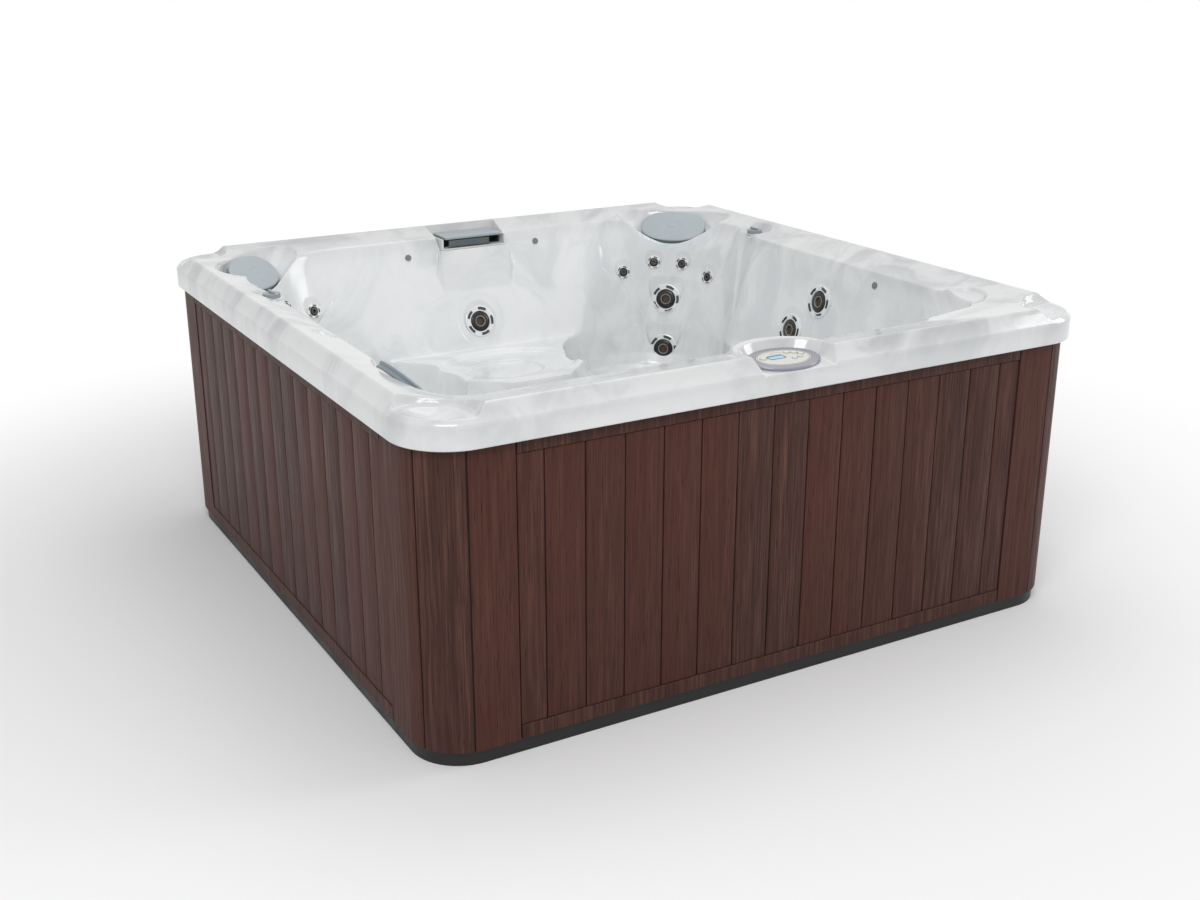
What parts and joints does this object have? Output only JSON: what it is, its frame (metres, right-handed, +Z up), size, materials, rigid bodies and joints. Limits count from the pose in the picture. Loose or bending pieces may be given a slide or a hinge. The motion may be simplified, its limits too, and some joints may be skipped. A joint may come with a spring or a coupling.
{
  "type": "hot tub",
  "caption": "Square acrylic hot tub with moulded corner seats, a lounge, hydro jets, pillows, a skimmer, a topside control panel and a boarded cabinet on a polymer base pan.",
  "frame": {"origin": "middle of the base pan's underside, on the floor", "axes": "+Z up; the control panel's side faces -Y; the filter skimmer is at +Y"},
  "size_m": [2.13, 2.13, 0.931],
  "materials": {
    "acrylic": "light grey-white marbled acrylic, glossy",
    "cabinet": "mahogany wood-grain boards, satin",
    "pan": "black moulded polymer",
    "timber": "sawn softwood",
    "steel": "plain steel",
    "jet_plastic": "dark moulded plastic",
    "jet_trim": "silver-white moulded plastic with dark slots",
    "pillow_foam": "soft grey moulded foam",
    "skimmer_plastic": "grey moulded plastic",
    "weir_plastic": "dark grey moulded plastic",
    "filter_paper": "pleated white filter fabric",
    "bezel": "lilac-grey moulded plastic",
    "faceplate": "warm light grey overlay",
    "lcd": "pale blue display window",
    "button": "soft grey button",
    "knob": "grey moulded plastic",
    "lens": "clear lens",
    "suction": "light grey moulded plastic",
    "pump_plastic": "black moulded plastic",
    "motor_paint": "dark blue-grey paint",
    "impeller": "black plastic",
    "box_metal": "grey powder coat",
    "pipe": "white rigid pipe",
    "hose": "clear flexible hose"
  },
  "bodies": {
    "tub": {"base_pan": "pan", "frame": "timber", "shell": "acrylic", "panel_front": "cabinet", "panel_right": "cabinet", "panel_back": "cabinet", "panel_left": "cabinet", "corner_post_fl": "cabinet", "corner_post_fr": "cabinet", "corner_post_br": "cabinet", "corner_post_bl": "cabinet", "panel_clips": "steel", "jet_bodies": "jet_plastic", "jet_nuts": "jet_plastic", "pillow_bl": "pillow_foam", "pillow_br": "pillow_foam", "pillow_fl": "pillow_foam", "skimmer_housing": "skimmer_plastic", "filter_cartridges": "filter_paper", "panel_bezel": "bezel", "panel_faceplate": "faceplate", "lcd_window": "lcd", "air_valve_bodies": "jet_plastic", "waterline_lights": "lens", "suction_covers": "suction", "light_lens": "lens", "pump_housing": "pump_plastic", "pump_motor": "motor_paint", "heater": "steel", "control_box": "box_metal", "plumbing": "pipe", "jet_hoses": "hose"},
    "jet_face_back": {"jet_face_back": "jet_trim"},
    "jet_face_right_upper": {"jet_face_right_upper": "jet_trim"},
    "jet_face_right_lower": {"jet_face_right_lower": "jet_trim"},
    "jet_face_bl_upper": {"jet_face_bl_upper": "jet_trim"},
    "jet_face_bl_lower": {"jet_face_bl_lower": "jet_trim"},
    "jet_face_bl_1": {"jet_face_bl_1": "jet_trim"},
    "jet_face_bl_2": {"jet_face_bl_2": "jet_trim"},
    "jet_face_bl_3": {"jet_face_bl_3": "jet_trim"},
    "jet_face_bl_4": {"jet_face_bl_4": "jet_trim"},
    "jet_face_br_upper": {"jet_face_br_upper": "jet_trim"},
    "jet_face_br_lower": {"jet_face_br_lower": "jet_trim"},
    "jet_face_br_1": {"jet_face_br_1": "jet_trim"},
    "jet_face_br_2": {"jet_face_br_2": "jet_trim"},
    "jet_face_br_3": {"jet_face_br_3": "jet_trim"},
    "jet_face_br_4": {"jet_face_br_4": "jet_trim"},
    "jet_face_lounge_1": {"jet_face_lounge_1": "jet_trim"},
    "jet_face_lounge_2": {"jet_face_lounge_2": "jet_trim"},
    "air_knob_right": {"air_knob_right": "knob"},
    "air_knob_left": {"air_knob_left": "knob"},
    "button_jets": {"button_jets": "button"},
    "button_light": {"button_light": "button"},
    "button_menu": {"button_menu": "button"},
    "button_filter": {"button_filter": "button"},
    "button_up": {"button_up": "button"},
    "button_down": {"button_down": "button"},
    "skimmer_lid": {"skimmer_lid": "skimmer_plastic"},
    "weir_flap": {"weir_flap": "weir_plastic"},
    "pump_impeller": {"pump_impeller": "impeller"}
  },
  "joints": [
    {"name": "jet_face_back_turn", "type": "hinge", "parent": "tub", "child": "jet_face_back", "pos_m": [-0.004, 0.83168, 0.597], "axis": [0, -0.9455, 0.3256], "range_deg": [0, 90]},
    {"name": "jet_face_right_upper_turn", "type": "hinge", "parent": "tub", "child": "jet_face_right_upper", "pos_m": [0.85378, -0.063, 0.753], "axis": [-0.9773, 0, 0.2119], "range_deg": [0, 90]},
    {"name": "jet_face_right_lower_turn", "type": "hinge", "parent": "tub", "child": "jet_face_right_lower", "pos_m": [0.8271, 0.057, 0.63], "axis": [-0.9773, 0, 0.2119], "range_deg": [0, 90]},
    {"name": "jet_face_bl_upper_turn", "type": "hinge", "parent": "tub", "child": "jet_face_bl_upper", "pos_m": [-0.75752, 0.75752, 0.605], "axis": [0.6934, -0.6934, 0.1961], "range_deg": [0, 90]},
    {"name": "jet_face_bl_lower_turn", "type": "hinge", "parent": "tub", "child": "jet_face_bl_lower", "pos_m": [-0.73476, 0.73476, 0.414], "axis": [0.7012, -0.7012, 0.1289], "range_deg": [0, 90]},
    {"name": "jet_face_bl_1_turn", "type": "hinge", "parent": "tub", "child": "jet_face_bl_1", "pos_m": [-0.62556, 0.85975, 0.705], "axis": [0.2743, -0.9259, 0.26], "range_deg": [0, 120]},
    {"name": "jet_face_bl_2_turn", "type": "hinge", "parent": "tub", "child": "jet_face_bl_2", "pos_m": [-0.73652, 0.81538, 0.74], "axis": [0.5676, -0.7812, 0.26], "range_deg": [0, 120]},
    {"name": "jet_face_bl_3_turn", "type": "hinge", "parent": "tub", "child": "jet_face_bl_3", "pos_m": [-0.81538, 0.73652, 0.74], "axis": [0.7812, -0.5676, 0.26], "range_deg": [0, 120]},
    {"name": "jet_face_bl_4_turn", "type": "hinge", "parent": "tub", "child": "jet_face_bl_4", "pos_m": [-0.85975, 0.62556, 0.705], "axis": [0.9259, -0.2743, 0.26], "range_deg": [0, 120]},
    {"name": "jet_face_br_upper_turn", "type": "hinge", "parent": "tub", "child": "jet_face_br_upper", "pos_m": [0.75752, 0.75752, 0.605], "axis": [-0.6934, -0.6934, 0.1961], "range_deg": [0, 90]},
    {"name": "jet_face_br_lower_turn", "type": "hinge", "parent": "tub", "child": "jet_face_br_lower", "pos_m": [0.73476, 0.73476, 0.414], "axis": [-0.7012, -0.7012, 0.1289], "range_deg": [0, 90]},
    {"name": "jet_face_br_1_turn", "type": "hinge", "parent": "tub", "child": "jet_face_br_1", "pos_m": [0.62556, 0.85975, 0.705], "axis": [-0.2743, -0.9259, 0.26], "range_deg": [0, 120]},
    {"name": "jet_face_br_2_turn", "type": "hinge", "parent": "tub", "child": "jet_face_br_2", "pos_m": [0.73652, 0.81538, 0.74], "axis": [-0.5676, -0.7812, 0.26], "range_deg": [0, 120]},
    {"name": "jet_face_br_3_turn", "type": "hinge", "parent": "tub", "child": "jet_face_br_3", "pos_m": [0.81538, 0.73652, 0.74], "axis": [-0.7812, -0.5676, 0.26], "range_deg": [0, 120]},
    {"name": "jet_face_br_4_turn", "type": "hinge", "parent": "tub", "child": "jet_face_br_4", "pos_m": [0.85975, 0.62556, 0.705], "axis": [-0.9259, -0.2743, 0.26], "range_deg": [0, 120]},
    {"name": "jet_face_lounge_1_turn", "type": "hinge", "parent": "tub", "child": "jet_face_lounge_1", "pos_m": [-0.83857, -0.48, 0.64], "axis": [0.9615, 0, 0.2747], "range_deg": [0, 120]},
    {"name": "jet_face_lounge_2_turn", "type": "hinge", "parent": "tub", "child": "jet_face_lounge_2", "pos_m": [-0.83857, -0.6, 0.64], "axis": [0.9615, 0, 0.2747], "range_deg": [0, 120]},
    {"name": "air_knob_right_turn", "type": "hinge", "parent": "tub", "child": "air_knob_right", "pos_m": [0.945, 0.45, 0.893], "axis": [0, 0, 1], "range_deg": [0, 150]},
    {"name": "air_knob_left_turn", "type": "hinge", "parent": "tub", "child": "air_knob_left", "pos_m": [-0.926, 0.35, 0.893], "axis": [0, 0, 1], "range_deg": [0, 150]},
    {"name": "button_jets_press", "type": "slide", "parent": "tub", "child": "button_jets", "axis": [0, 0.0872, -0.9962], "range_m": [0, 0.001], "stiffness_N_per_m": 300},
    {"name": "button_light_press", "type": "slide", "parent": "tub", "child": "button_light", "axis": [0, 0.0872, -0.9962], "range_m": [0, 0.001], "stiffness_N_per_m": 300},
    {"name": "button_menu_press", "type": "slide", "parent": "tub", "child": "button_menu", "axis": [0, 0.0872, -0.9962], "range_m": [0, 0.001], "stiffness_N_per_m": 300},
    {"name": "button_filter_press", "type": "slide", "parent": "tub", "child": "button_filter", "axis": [0, 0.0872, -0.9962], "range_m": [0, 0.001], "stiffness_N_per_m": 300},
    {"name": "button_up_press", "type": "slide", "parent": "tub", "child": "button_up", "axis": [0, 0.0872, -0.9962], "range_m": [0, 0.001], "stiffness_N_per_m": 300},
    {"name": "button_down_press", "type": "slide", "parent": "tub", "child": "button_down", "axis": [0, 0.0872, -0.9962], "range_m": [0, 0.001], "stiffness_N_per_m": 300},
    {"name": "skimmer_lid_hinge", "type": "hinge", "parent": "tub", "child": "skimmer_lid", "pos_m": [0.012, 1.006, 0.899], "axis": [-1, 0, 0], "range_deg": [0, 90]},
    {"name": "weir_flap_swing", "type": "hinge", "parent": "tub", "child": "weir_flap", "pos_m": [-0.004, 0.908, 0.8695], "axis": [-1, 0, 0], "range_deg": [0, 70]},
    {"name": "pump_impeller_spin", "type": "hinge", "parent": "tub", "child": "pump_impeller", "pos_m": [-0.25, -0.7, 0.185], "axis": [1, 0, 0], "continuous": true}
  ]
}
